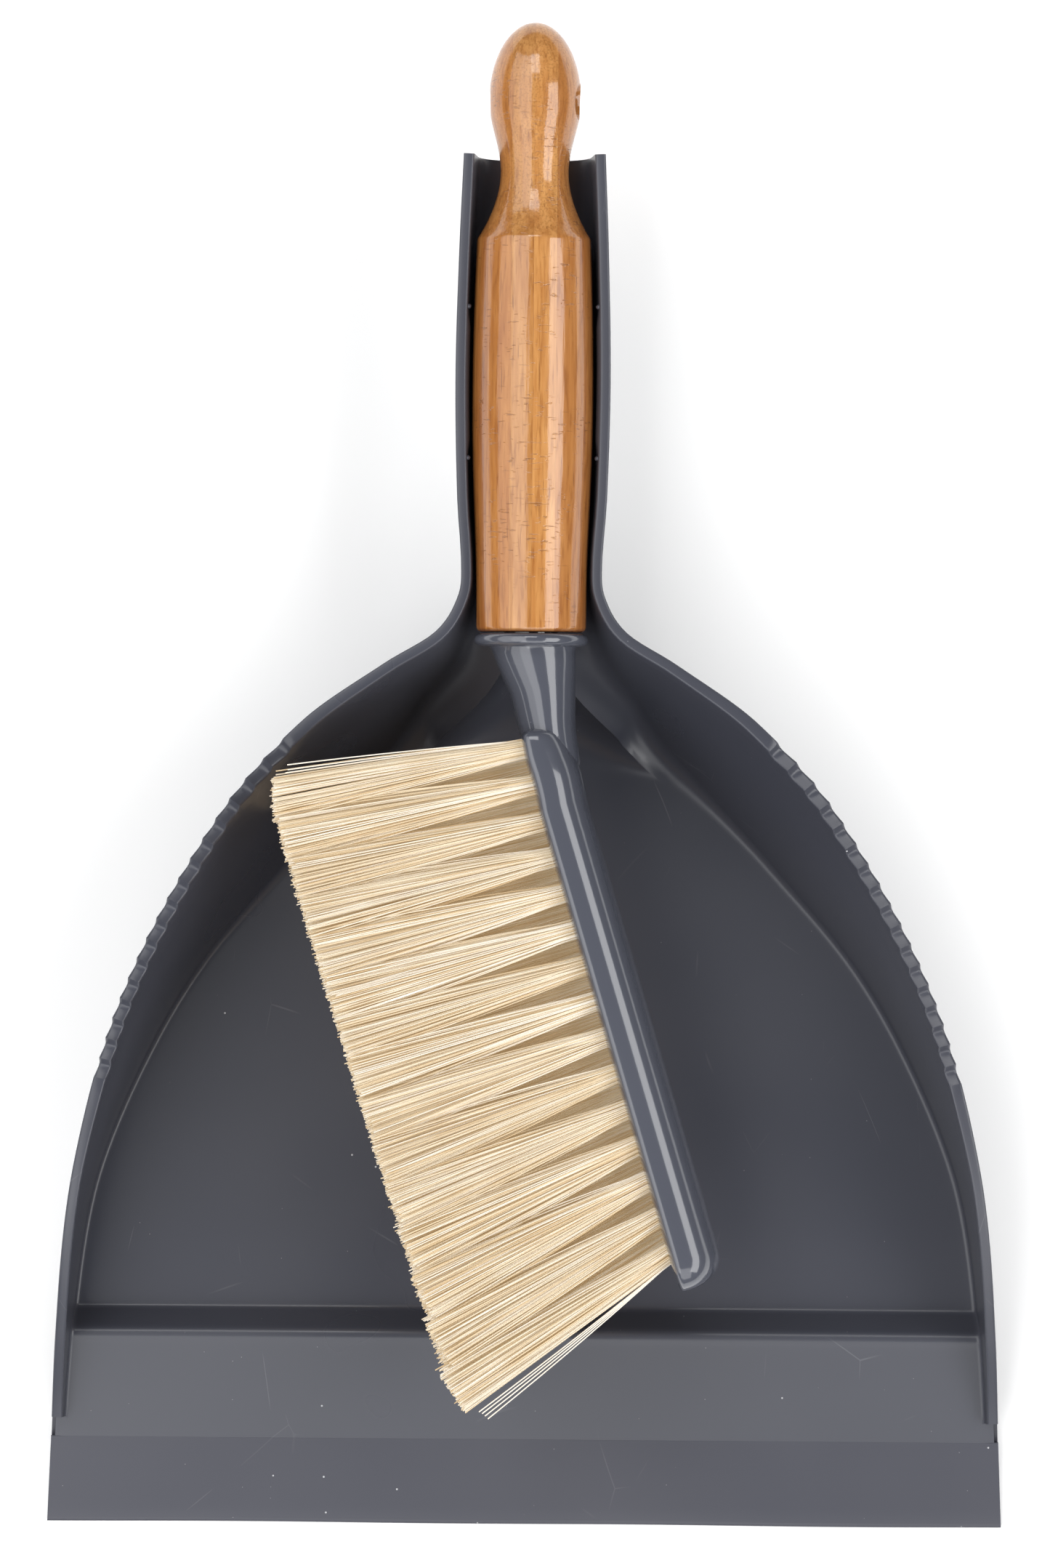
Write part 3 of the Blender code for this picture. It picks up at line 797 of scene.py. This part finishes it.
def tuft_holes_cutter(material):
    """All the tuft holes as one cutter of separate round plugs."""
    bm = bmesh.new()
    for _, _, root, direction in tuft_frames():
        half = (HOLE_DEPTH + 4.0) / 2
        middle = root + direction * (half - HOLE_DEPTH)
        turn = direction.to_track_quat("Z", "Y").to_matrix().to_4x4()
        bmesh.ops.create_cone(
            bm,
            cap_ends=True,
            segments=20,
            radius1=HOLE_RADIUS,
            radius2=HOLE_RADIUS,
            depth=2 * half,
            matrix=Matrix.Translation(middle) @ turn,
        )
    return make_object("tuft_holes_cutter", bm, material)


def make_head(plastic):
    head = make_object("head_body", loft(neck_rings()), plastic)
    combine(head, make_object("block", loft(block_rings()), plastic), "UNION")
    combine(head, tuft_holes_cutter(plastic), "DIFFERENCE")
    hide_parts("brush_head")
    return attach(head, "brush")


# Bristles


def cut_reach(along):
    """How far from the face the bristles were trimmed, at a distance along the block."""
    rounding = TRIM_ROUNDING * max(0.0, TRIM_ROUNDED_BEFORE - along) ** 2
    return TRIM_REACH - TRIM_BEND * (along - TRIM_FARTHEST) ** 2 - rounding


def filament_path(root, direction, offset, spread, bow, length):
    """Points down one filament, from inside its hole to its cut end."""
    side = (ALONG_BLOCK - direction * ALONG_BLOCK.dot(direction)).normalized()
    across = direction.cross(side)
    if across.z < 0:
        across = -across
    points = []
    for k in range(FILAMENT_STEPS):
        part = k / (FILAMENT_STEPS - 1)
        distance = -ROOT_DEPTH + (length + ROOT_DEPTH) * part
        opened = max(0.0, distance) / length
        opened = opened * (1.25 - 0.25 * opened)
        point = root + direction * distance
        point += side * (offset[0] + spread[0] * opened + bow[0] * math.sin(math.pi * opened))
        point += across * (offset[1] + spread[1] * opened + bow[1] * math.sin(math.pi * opened))
        points.append(point)
    return points


def add_tube(bm, tones, points, radius, tone):
    """Adds one filament's tube to the mesh, with a cut end."""
    start = (points[1] - points[0]).normalized()
    side = start.cross(UP).normalized()
    lift = side.cross(start)
    rings = []
    for point in points:
        ring = []
        for k in range(FILAMENT_SIDES):
            angle = 2 * math.pi * k / FILAMENT_SIDES
            vert = bm.verts.new(point + (side * math.cos(angle) + lift * math.sin(angle)) * radius)
            vert[tones] = tone
            ring.append(vert)
        rings.append(ring)
    skin(bm, rings)


def trimmed_length(root, direction, offset, spread, rng):
    """The length at which a filament meets the line that the bristles were trimmed to."""
    slope = direction.dot(OUT_OF_FACE)
    base_x, base_station = block_point(0)
    origin = Vector((base_x, world_y(base_station), root.z))
    length = 56.0
    for _ in range(3):
        tip = root + direction * length + ALONG_BLOCK * (offset[0] + spread[0])
        along = (tip - origin).dot(ALONG_BLOCK)
        reach = (tip - origin).dot(OUT_OF_FACE) - BLOCK_HALF_THICKNESS
        length += (cut_reach(along) - reach) / slope
    ragged = rng.gauss(0, RAGGEDNESS)
    if rng.random() < SHORT_SHARE:
        ragged -= rng.random() * SHORT_BY
    return length + ragged


def tuft_opening(place, side):
    """How far a tuft opens on one side, which is less on the outer side of each row's first and last tuft."""
    if place < 0.75 and side <= 0:
        return OPENING_BEFORE_FIRST
    if place > LONGEST_ROW - 1.75 and side > 0:
        return OPENING_AFTER_LAST
    return OPENING


def make_tuft(name, place, root, direction, bristle, rng):
    """One tuft: filaments packed round in their hole that open towards their tips."""
    bm = bmesh.new()
    tones = bm.verts.layers.float.new("tone")
    golden = math.pi * (3 - math.sqrt(5))
    for k in range(FILAMENTS):
        radius = math.sqrt((k + 0.5) / FILAMENTS)
        angle = golden * k + rng.random() * 0.4
        disc = Vector((radius * math.cos(angle), radius * math.sin(angle)))
        offset = disc * (HOLE_RADIUS - FILAMENT_RADIUS - 0.08)
        spread_along = disc.x * tuft_opening(place, disc.x) + rng.gauss(0, STRAY)
        spread_up = disc.y * OPENING_UP + rng.gauss(0, STRAY_UP)
        spread = Vector((spread_along, spread_up))
        bow = (rng.gauss(0, BOW), rng.gauss(0, BOW))
        length = trimmed_length(root, direction, offset, spread, rng)
        points = filament_path(root, direction, offset, spread, bow, length)
        add_tube(bm, tones, points, FILAMENT_RADIUS * rng.uniform(0.88, 1.1), rng.random())
    for splay in LOOSE_STRANDS.get(name, ()):
        offset = Vector((math.copysign(1.9, splay), 0.5))
        spread = Vector((splay, 1.2))
        length = trimmed_length(root, direction, offset, spread, rng) - LOOSE_STRAND_CUT
        points = filament_path(root, direction, offset, spread, (0, 0), length)
        add_tube(bm, tones, points, FILAMENT_RADIUS, 1.0)
    bmesh.ops.scale(bm, vec=(MM, MM, MM), verts=bm.verts)
    tuft = link_object(name + "_bristles", bm, bristle, 80)
    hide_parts(name)
    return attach(tuft, "brush")


# Materials


class Nodes:
    """Short names for the few node set-ups that the materials share."""

    def __init__(self, name):
        self.material = bpy.data.materials.new(name)
        self.material.use_nodes = True
        self.tree = self.material.node_tree
        self.shader = self.tree.nodes["Principled BSDF"]
        self.place = self.add("ShaderNodeTexCoord").outputs["Object"]

    def add(self, kind):
        return self.tree.nodes.new(kind)

    def link(self, source, target):
        self.tree.links.new(source, target)

    def stretched(self, scale, vector=None):
        """Coordinates, the object's own or those given, scaled by a number for each axis."""
        mapping = self.add("ShaderNodeMapping")
        mapping.inputs["Scale"].default_value = scale
        self.link(vector if vector else self.place, mapping.inputs["Vector"])
        return mapping.outputs["Vector"]

    def noise(self, scale, detail=3.0, vector=None, distortion=0.0):
        noise = self.add("ShaderNodeTexNoise")
        noise.inputs["Scale"].default_value = scale
        noise.inputs["Detail"].default_value = detail
        noise.inputs["Distortion"].default_value = distortion
        self.link(vector if vector else self.place, noise.inputs["Vector"])
        return noise.outputs["Fac"]

    def ramp(self, value, stops):
        """A colour ramp through (position, colour) stops."""
        ramp = self.add("ShaderNodeValToRGB")
        elements = ramp.color_ramp.elements
        while len(elements) < len(stops):
            elements.new(0.5)
        for element, (position, colour) in zip(elements, stops):
            element.position = position
            element.color = (*colour, 1.0)
        self.link(value, ramp.inputs["Fac"])
        return ramp.outputs["Color"]

    def levels(self, value, low, high, to_low, to_high):
        """The value's range low to high stretched to to_low to to_high, and held there outside it."""
        levels = self.add("ShaderNodeMapRange")
        numbers = {"From Min": low, "From Max": high, "To Min": to_low, "To Max": to_high}
        for socket, number in numbers.items():
            levels.inputs[socket].default_value = number
        self.link(value, levels.inputs["Value"])
        return levels.outputs["Result"]

    def math(self, operation, first, second=None):
        node = self.add("ShaderNodeMath")
        node.operation = operation
        for socket, value in zip(node.inputs, (first, second)):
            if isinstance(value, (int, float)):
                socket.default_value = value
            elif value is not None:
                self.link(value, socket)
        return node.outputs["Value"]

    def blend(self, share, first, second, kind="MIX"):
        """Colours mixed by a share, which is a number or a socket, as are the colours."""
        node = self.add("ShaderNodeMix")
        node.data_type = "RGBA"
        node.blend_type = kind
        for index, value in ((0, share), (6, first), (7, second)):
            if isinstance(value, (int, float)):
                node.inputs[index].default_value = value
            elif isinstance(value, tuple):
                node.inputs[index].default_value = (*value, 1.0)
            else:
                self.link(value, node.inputs[index])
        return node.outputs[2]

    def bump(self, height, distance, below=None, strength=1.0):
        node = self.add("ShaderNodeBump")
        node.inputs["Strength"].default_value = strength
        node.inputs["Distance"].default_value = distance
        self.link(height, node.inputs["Height"])
        if below:
            self.link(below, node.inputs["Normal"])
        return node.outputs["Normal"]

    def cells(self, scale, feature="F1", vector=None):
        node = self.add("ShaderNodeTexVoronoi")
        node.feature = feature
        node.inputs["Scale"].default_value = scale
        self.link(vector if vector else self.place, node.inputs["Vector"])
        return node

    def specks(self, scale, size, share):
        """Small round specks: 1 inside a speck and 0 outside, in this share of the cells."""
        cell = self.cells(scale)
        dot = self.levels(cell.outputs["Distance"], size * 0.6, size, 1.0, 0.0)
        tone = self.add("ShaderNodeSeparateColor")
        self.link(cell.outputs["Color"], tone.inputs["Color"])
        chosen = self.math("LESS_THAN", tone.outputs["Red"], share)
        return self.math("MULTIPLY", dot, chosen)

    def hairlines(self, scale, width, turn):
        """Fine curved scratches, broken into short lengths and gathered in patches."""
        warp = self.add("ShaderNodeTexNoise")
        warp.inputs["Scale"].default_value = 11.0
        warp.inputs["Detail"].default_value = 0.0
        self.link(self.place, warp.inputs["Vector"])
        bend = self.add("ShaderNodeMix")
        bend.data_type = "RGBA"
        bend.blend_type = "LINEAR_LIGHT"
        bend.inputs[0].default_value = 0.012
        self.link(self.place, bend.inputs[6])
        self.link(warp.outputs["Color"], bend.inputs[7])
        mapping = self.add("ShaderNodeMapping")
        mapping.inputs["Rotation"].default_value = (0, 0, turn)
        mapping.inputs["Scale"].default_value = (1.0, 0.45, 1.0)
        self.link(bend.outputs[2], mapping.inputs["Vector"])
        cell = self.cells(scale, "DISTANCE_TO_EDGE", mapping.outputs["Vector"])
        line = self.levels(cell.outputs["Distance"], width * 0.4, width, 1.0, 0.0)
        patch = self.levels(self.noise(55 + 9 * turn, 1), 0.63, 0.72, 0.0, 1.0)
        return self.math("MULTIPLY", line, patch)


def plastic_material(name, dark, light, roughness, gloss_change, dust, scratch):
    """Moulded plastic with a faint mottle, an even skin texture, handling scuffs and specks of dust."""
    n = Nodes(name)
    mottle = n.noise(9, 4)
    colour = n.ramp(mottle, ((0.25, dark), (0.75, light)))
    specks = n.specks(170, 0.045, dust)
    fine_specks = n.specks(460, 0.06, dust * 0.5)
    worn = n.math("MAXIMUM", n.hairlines(26, 0.0030, 0.5), n.hairlines(38, 0.0036, -0.9))
    worn = n.math("MULTIPLY", worn, scratch)
    rubbed = n.math("MULTIPLY", n.levels(n.noise(11, 2), 0.3, 0.9, 0.0, 1.0), scratch)
    colour = n.blend(n.math("MULTIPLY", worn, 0.12), colour, (0.36, 0.36, 0.38))
    colour = n.blend(n.math("MULTIPLY", rubbed, 0.06), colour, (0.30, 0.28, 0.28))
    dirt = n.math("MAXIMUM", specks, n.math("MULTIPLY", fine_specks, 0.4))
    colour = n.blend(n.math("MULTIPLY", dirt, 0.8), colour, (0.6, 0.6, 0.62))
    n.link(colour, n.shader.inputs["Base Color"])
    gloss = n.levels(n.noise(20, 2), 0.2, 0.8, roughness, roughness + gloss_change)
    gloss = n.math("ADD", gloss, n.math("MULTIPLY", rubbed, 0.07))
    n.link(n.math("ADD", gloss, n.math("MULTIPLY", dirt, 0.3)), n.shader.inputs["Roughness"])
    skin = n.bump(n.noise(900, 2), 0.00002, strength=0.3)
    wave = n.bump(n.noise(24, 1), 0.0003, skin, strength=0.12)
    n.link(n.bump(worn, -0.00001, wave, strength=0.3), n.shader.inputs["Normal"])
    return n


def pan_material():
    dark, light = (0.046, 0.049, 0.064), (0.054, 0.057, 0.074)
    return plastic_material("pan_plastic", dark, light, 0.25, 0.07, dust=0.2, scratch=1.0).material


def lip_material():
    dark, light = (0.052, 0.054, 0.070), (0.060, 0.062, 0.080)
    return plastic_material("lip_rubber", dark, light, 0.33, 0.08, dust=0.26, scratch=0.8).material


def head_material():
    """The head's plastic, which is glossier and cleaner than the pan's."""
    dark, light = (0.073, 0.078, 0.098), (0.081, 0.086, 0.108)
    n = plastic_material("head_plastic", dark, light, 0.13, 0.04, dust=0.06, scratch=0.3)
    n.shader.inputs["Coat Weight"].default_value = 0.7
    n.shader.inputs["Coat Roughness"].default_value = 0.05
    return n.material


def strip_colour(n, strips):
    """Each strip's tone, with painted shade in the darker outer strips, from the place across the handle
    counted in strips.
    """
    tone = n.add("ShaderNodeValToRGB")
    tone.color_ramp.interpolation = "CONSTANT"
    elements = tone.color_ramp.elements
    while len(elements) < len(STRIP_TONES_WITH_SIDE_SHADE):
        elements.new(0.5)
    for k, (element, colour) in enumerate(zip(elements, STRIP_TONES_WITH_SIDE_SHADE)):
        element.position = k / len(STRIP_TONES_WITH_SIDE_SHADE)
        element.color = (*colour, 1.0)
    n.link(n.levels(strips, -3, 3, 0.0, 1.0), tone.inputs["Fac"])
    return tone.outputs["Color"]


def strip_places(n, strips):
    """Object coordinates that jump from strip to strip, so that each strip has a grain of its own."""
    strip = n.math("FLOOR", strips)
    shift = n.add("ShaderNodeCombineXYZ")
    n.link(n.math("MULTIPLY", strip, 0.37), shift.inputs["Y"])
    n.link(n.math("MULTIPLY", strip, 0.11), shift.inputs["Z"])
    shifted = n.add("ShaderNodeVectorMath")
    shifted.operation = "ADD"
    n.link(n.place, shifted.inputs[0])
    n.link(shift.outputs["Vector"], shifted.inputs[1])
    return shifted.outputs["Vector"]


def grain_noise(n, places, across, along, detail, distortion=0.0):
    """Noise drawn out along the handle, from its scales across the fibres and along them."""
    return n.noise(1.0, detail, n.stretched((across, along, across), places), distortion)


def grain_colour(n, colour, places, fibre, streak):
    """The strips' colour with fibres, streaks, stains and dark threads in it."""
    grain = ((0.3, (0.62, 0.50, 0.36)), (0.46, (0.98, 0.96, 0.92)), (0.7, (1.12, 1.15, 1.22)))
    colour = n.blend(0.7, colour, n.ramp(fibre, grain), "MULTIPLY")
    streaks = ((0.3, (0.82, 0.72, 0.60)), (0.55, (1.0, 1.0, 1.0)), (0.75, (1.06, 1.08, 1.1)))
    colour = n.blend(0.7, colour, n.ramp(streak, streaks), "MULTIPLY")
    stains = ((0.32, (0.80, 0.68, 0.55)), (0.6, (1.05, 1.05, 1.06)))
    colour = n.blend(0.75, colour, n.ramp(grain_noise(n, places, 150, 30, 3, 0.8), stains), "MULTIPLY")
    thread = n.levels(grain_noise(n, places, 2300, 90, 1), 0.68, 0.74, 0.0, 0.6)
    return n.blend(thread, colour, (0.17, 0.06, 0.015))


def joint_colour(n, colour, strips, streak):
    """The wood's colour with thin dark glue lines between the strips."""
    edge = n.math("ABSOLUTE", n.math("SUBTRACT", n.math("FRACT", strips), 0.5))
    glue = n.math("MULTIPLY", n.levels(edge, 0.485, 0.497, 0.0, 0.4), n.levels(streak, 0.4, 0.6, 0.3, 1.0))
    return n.blend(glue, colour, (0.24, 0.09, 0.025))


def end_colour(n, colour, along):
    """The wood's colour with open pores in the turned neck and knob, and a painted shadow on its end next to
    the collar.
    """
    turned_end = n.levels(along, world_y(292) * MM, world_y(296) * MM, 0.0, 1.0)
    pore = n.levels(n.noise(2100, 3), 0.36, 0.5, 1.0, 0.0)
    pores = n.math("MULTIPLY", n.math("MULTIPLY", turned_end, pore), 0.45)
    colour = n.blend(pores, colour, (0.27, 0.11, 0.03))
    # Painted shadow: the wood darkens over its last 0.9 mm at the collar, where the gap casts a thin shadow.
    painted_collar_shade = n.levels(along, world_y(HANDLE_END) * MM, world_y(HANDLE_END + 0.9) * MM, 0.75, 0.0)
    return n.blend(painted_collar_shade, colour, (0.09, 0.02, 0.006))


def bamboo_material():
    """Varnished bamboo: glued strips of different tones, the outer ones partly painted shade, long fibres,
    and fine cracks across the grain.
    """
    n = Nodes("bamboo")
    split = n.add("ShaderNodeSeparateXYZ")
    n.link(n.place, split.inputs["Vector"])
    strips = n.math("DIVIDE", split.outputs["X"], STRIP_WIDTH * MM)
    places = strip_places(n, strips)
    fibre = grain_noise(n, places, 1500, 130, 3, 0.3)
    streak = grain_noise(n, places, 800, 34, 3, 0.3)
    crack = n.levels(n.noise(1.0, 2, n.stretched((380, 1900, 380))), 0.62, 0.68, 0.0, 1.0)
    cracks = n.math("MULTIPLY", crack, n.levels(n.noise(80, 2), 0.45, 0.6, 0.0, 1.0))
    colour = grain_colour(n, strip_colour(n, strips), places, fibre, streak)
    colour = n.blend(n.math("MULTIPLY", cracks, 0.6), colour, (0.20, 0.08, 0.025))
    colour = joint_colour(n, colour, strips, streak)
    colour = end_colour(n, colour, split.outputs["Y"])
    n.link(colour, n.shader.inputs["Base Color"])
    n.link(n.levels(fibre, 0.3, 0.7, 0.4, 0.3), n.shader.inputs["Roughness"])
    n.shader.inputs["Specular IOR Level"].default_value = 0.15
    n.shader.inputs["Coat Weight"].default_value = 1.0
    n.shader.inputs["Coat Roughness"].default_value = 0.09
    n.shader.inputs["Coat IOR"].default_value = 1.6
    ripple = n.bump(fibre, 0.0001, strength=0.3)
    n.link(n.bump(cracks, -0.00012, ripple, strength=0.5), n.shader.inputs["Normal"])
    coat = n.bump(streak, 0.00018, strength=0.25)
    n.link(n.bump(cracks, -0.00012, coat, strength=0.5), n.shader.inputs["Coat Normal"])
    return n.material


def bristle_material():
    """Cream synthetic filaments, each of its own tone, whose faint glow stands for light passing through."""
    n = Nodes("bristle")
    tone = n.add("ShaderNodeAttribute")
    tone.attribute_name = "tone"
    colour = n.ramp(
        tone.outputs["Fac"],
        (
            (0.0, (0.62, 0.47, 0.28)),
            (0.22, (0.71, 0.60, 0.43)),
            (0.6, (0.76, 0.69, 0.56)),
            (1.0, (0.84, 0.80, 0.73)),
        ),
    )
    patch = n.ramp(n.noise(120, 2), ((0.3, (0.96, 0.93, 0.88)), (0.7, (1.0, 1.0, 1.0))))
    n.link(n.blend(1.0, colour, patch, "MULTIPLY"), n.shader.inputs["Base Color"])
    n.link(n.levels(n.noise(300, 2), 0.3, 0.7, 0.3, 0.42), n.shader.inputs["Roughness"])
    n.link(n.bump(n.noise(1400, 1), 0.00002, strength=0.3), n.shader.inputs["Normal"])
    n.shader.inputs["Emission Color"].default_value = (1.0, 0.74, 0.42, 1.0)
    n.shader.inputs["Emission Strength"].default_value = 0.10
    return n.material


def floor_material():
    """Matt white paper, with a faint glow that keeps it as white as in the photo."""
    n = Nodes("floor_paper")
    colour = n.ramp(n.noise(3, 2), ((0.3, (0.9, 0.9, 0.9)), (0.7, (0.93, 0.93, 0.93))))
    n.link(colour, n.shader.inputs["Base Color"])
    n.shader.inputs["Roughness"].default_value = 0.9
    n.shader.inputs["Specular IOR Level"].default_value = 0.1
    n.shader.inputs["Emission Color"].default_value = (1.0, 1.0, 1.0, 1.0)
    n.shader.inputs["Emission Strength"].default_value = 0.12
    return n.material


# Stage


def make_floor():
    bm = bmesh.new()
    corners = []
    for x, y in ((-1, -1), (1, -1), (1, 1), (-1, 1)):
        corners.append(bm.verts.new((x * FLOOR_HALF_WIDTH, y * FLOOR_HALF_WIDTH, -FLOOR_DROP)))
    bm.faces.new(corners)
    make_object("floor", bm, floor_material())


def add_lamp(name, sideways, endways, spread_x, spread_y, brightness):
    """A soft rectangular lamp that faces the object, unseen by the camera but not by reflections.

    Its place is given as angles off the vertical towards +X and +Y, and its size as the angles that it spans.
    """
    distance = LAMP_DISTANCE * MM
    towards = Vector((math.tan(math.radians(sideways)), math.tan(math.radians(endways)), 1)).normalized()
    width = 2 * distance * math.tan(math.radians(spread_x / 2))
    length = 2 * distance * math.tan(math.radians(spread_y / 2))
    data = bpy.data.lights.new(name, "AREA")
    data.shape = "RECTANGLE"
    data.size = width
    data.size_y = length
    data.energy = brightness * math.pi * width * length
    lamp = bpy.data.objects.new(name, data)
    bpy.context.scene.collection.objects.link(lamp)
    lamp.location = towards * distance
    lamp.visible_camera = False
    width_axis = Vector((0, 1, 0)).cross(towards).normalized()
    length_axis = towards.cross(width_axis)
    lamp.rotation_euler = Matrix((width_axis, length_axis, towards)).transposed().to_euler()


def make_lights():
    world = bpy.data.worlds.new("studio")
    bpy.context.scene.world = world
    world.use_nodes = True
    background = world.node_tree.nodes["Background"]
    background.inputs["Color"].default_value = (0.96, 0.98, 1.0, 1.0)
    background.inputs["Strength"].default_value = 0.04
    add_lamp("softbox_left", -25, 0, 30, 93, 2.4)
    add_lamp("softbox_far_left", -55, 0, 30, 93, 1.6)
    add_lamp("softbox_right", 44, -15, 30, 62, 4.0)
    add_lamp("softbox_front", 6, -49, 40, 38, 1.8)
    add_lamp("softbox_back", 0, 40, 20, 20, 3.9)


def make_camera():
    data = bpy.data.cameras.new("camera")
    data.sensor_width = 36.0
    data.lens = data.sensor_width * CAMERA_HEIGHT / VIEW_LENGTH
    data.clip_end = 100.0
    camera = bpy.data.objects.new("camera", data)
    bpy.context.scene.collection.objects.link(camera)
    camera.location = (CAMERA_AIM[0] * MM, CAMERA_AIM[1] * MM, CAMERA_HEIGHT * MM)
    camera.rotation_euler = (0, 0, CAMERA_ROLL)
    bpy.context.scene.camera = camera
    bpy.context.scene.view_settings.view_transform = "Standard"


def main():
    make_camera()
    make_lights()
    make_floor()
    pan_plastic = pan_material()
    make_pan(pan_plastic)
    make_nubs(pan_plastic)
    make_lip(lip_material())
    make_handle(bamboo_material())
    make_head(head_material())
    bristle = bristle_material()
    rng = random.Random(SEED)
    for name, place, root, direction in tuft_frames():
        make_tuft(name, place, root, direction, bristle, rng)


main()
